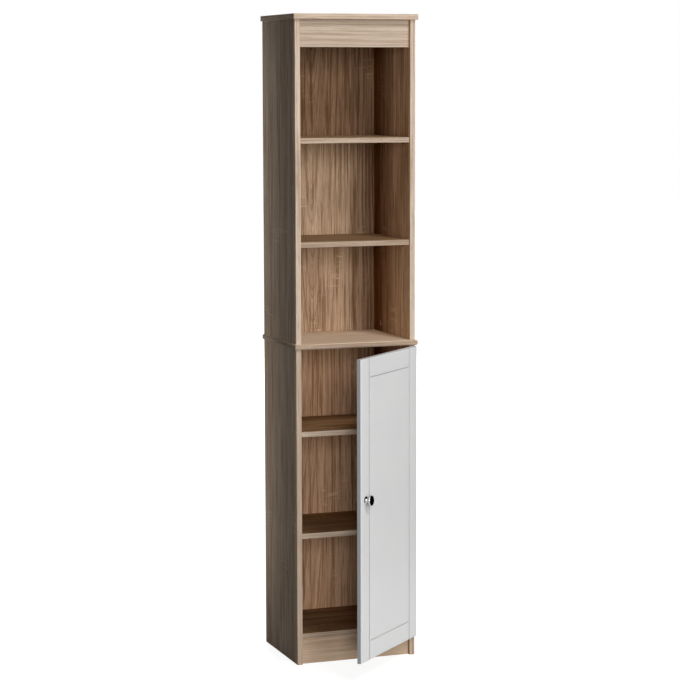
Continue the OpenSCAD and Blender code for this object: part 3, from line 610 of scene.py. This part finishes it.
# Start, end and top of each card
MIRROR_CARD = ((1.2, -1.6), (1.2, 2.6), 3.0)
FLAG_FRONT = ((-0.5, -0.3), (-0.183, -0.3), 1.9)
FLAG_LEFT = ((-0.36, -0.34), (-0.36, -0.12), 1.9)
CARD_TONES = (tone(8, 8, 8), tone(16, 16, 16))
CARD_WEAVE = 300

ROOM_LEVEL = 0.1
FLOOR_REACH = 20.0
FLOOR_TONES = (tone(138, 138, 138), tone(143, 143, 143))
FLOOR_GRAIN = 3
# The floor's own light is least as far as near, and full from far on
GLOW_NEAR, GLOW_FAR = 0.4, 1.9
GLOW_LEAST = 0.88


def add_camera():
    """The photograph's view."""
    camera = bpy.data.cameras.new("camera")
    camera.sensor_fit = "HORIZONTAL"
    camera.sensor_width = SENSOR_WIDTH
    camera.lens = FOCAL_PIXELS / FRAME_PIXELS * SENSOR_WIDTH
    camera.clip_end = CAMERA_REACH
    holder = bpy.data.objects.new("camera", camera)
    yaw, pitch, roll = (math.radians(angle) for angle in CAMERA_TURN)
    turn = (Matrix.Rotation(-yaw, 4, "Z") @ Matrix.Rotation(math.radians(90) + pitch, 4, "X")
            @ Matrix.Rotation(roll, 4, "Z"))
    holder.matrix_world = Matrix.Translation(CAMERA_PLACE) @ turn
    bpy.context.scene.collection.objects.link(holder)
    bpy.context.scene.camera = holder


def add_lamp(name, place, width, height, level, aim):
    """A soft box. Level 1 alone shows a colour as it is written, on a face turned to the lamp."""
    lamp = bpy.data.lights.new(name, "AREA")
    lamp.shape = "RECTANGLE"
    lamp.size = width
    lamp.size_y = height
    way = Vector(aim) - Vector(place)
    lamp.energy = level * math.pi ** 2 * way.length_squared
    holder = bpy.data.objects.new(name, lamp)
    holder.location = place
    holder.rotation_euler = way.to_track_quat("-Z", "Y").to_euler()
    holder.visible_camera = False
    bpy.context.scene.collection.objects.link(holder)
    return holder


def flat(name, corners):
    """A sheet with four corners."""
    mesh = bpy.data.meshes.new(name)
    mesh.from_pydata(corners, [], [(0, 1, 2, 3)])
    sheet = bpy.data.objects.new(name, mesh)
    bpy.context.scene.collection.objects.link(sheet)
    return sheet


def add_card(name, start, end, top, shades=False):
    """A black card that the camera doesn't see, upright between two points of the floor. It
    shades, or else it is seen in reflections."""
    card = flat(name, [(*start, 0), (*end, 0), (*end, top), (*start, top)])
    card.visible_camera = False
    card.visible_transmission = False
    card.visible_diffuse = False
    card.visible_shadow = shades
    card.visible_glossy = not shades
    material, t, shader = new_material(name, Specular_IOR_Level=0.0, Roughness=1.0)
    weave = t.noise(t.place(), CARD_WEAVE, detail=2)
    t.put(shader, "Base Color", t.mix(weave, *CARD_TONES))
    card.data.materials.append(material)
    return card


def add_cards(lamps):
    """One card on the right darkens the knob's mirror. Two flags keep the fill, and no other
    lamp, off the left side. The flag beside it also takes up light of the room, most of all near
    the front."""
    add_card("mirror_card", *MIRROR_CARD)
    flag_front = add_card("flag_front", *FLAG_FRONT, shades=True)
    flag_left = add_card("flag_left", *FLAG_LEFT, shades=True)
    flag_left.visible_diffuse = True
    unshaded = bpy.data.collections.new("unshaded")
    for flag in (flag_front, flag_left):
        unshaded.objects.link(flag)
    for entry in unshaded.collection_objects:
        entry.light_linking.link_state = "EXCLUDE"
    for lamp in lamps:
        if lamp.name != "fill":
            lamp.light_linking.blocker_collection = unshaded


def shown(t):
    """1 for the camera's own rays and for those that a mirror or clear plastic sends on, else 0."""
    path = t.add("ShaderNodeLightPath").outputs
    seen = t.math("MAXIMUM", path["Is Camera Ray"], path["Is Glossy Ray"])
    return t.math("MAXIMUM", seen, path["Is Transmission Ray"])


def add_world():
    """White where it is shown, and a low even light for the rest."""
    world = bpy.data.worlds.new("studio")
    bpy.context.scene.world = world
    world.use_nodes = True
    t = Tree(world.node_tree)
    background = world.node_tree.nodes["Background"]
    background.inputs["Color"].default_value = WHITE
    t.put(background, "Strength", t.span(shown(t), 0, 1, ROOM_LEVEL, 1.0, smooth=False))


def add_floor():
    """A pale floor that reads as white to the camera and keeps the cabinet's shadow."""
    far = FLOOR_REACH
    floor = flat("floor", [(-far, -far, 0), (far, -far, 0), (far, far, 0), (-far, far, 0)])
    material, t, shader = new_material("floor_paint", Specular_IOR_Level=0.2, Roughness=0.7)
    grain = t.noise(t.place(), FLOOR_GRAIN, detail=3)
    t.put(shader, "Base Color", t.mix(grain, *FLOOR_TONES))
    shader.inputs["Emission Color"].default_value = WHITE
    away = t.add("ShaderNodeVectorMath", {0: t.place()}, operation="LENGTH").outputs["Value"]
    glow = t.span(away, GLOW_NEAR, GLOW_FAR, GLOW_LEAST, 1.0)
    t.put(shader, "Emission Strength", t.times(shown(t), glow))
    floor.data.materials.append(material)


dress_sides()
dress_backs()
dress_levels()
dress_fronts()
dress_fittings()
for node in sorted(nodes):
    soften(node, node in BEVELLED)
add_camera()
add_cards([add_lamp(name, *settings) for name, settings in LAMPS.items()])
add_world()
add_floor()
bpy.context.scene.view_settings.view_transform = "Standard"
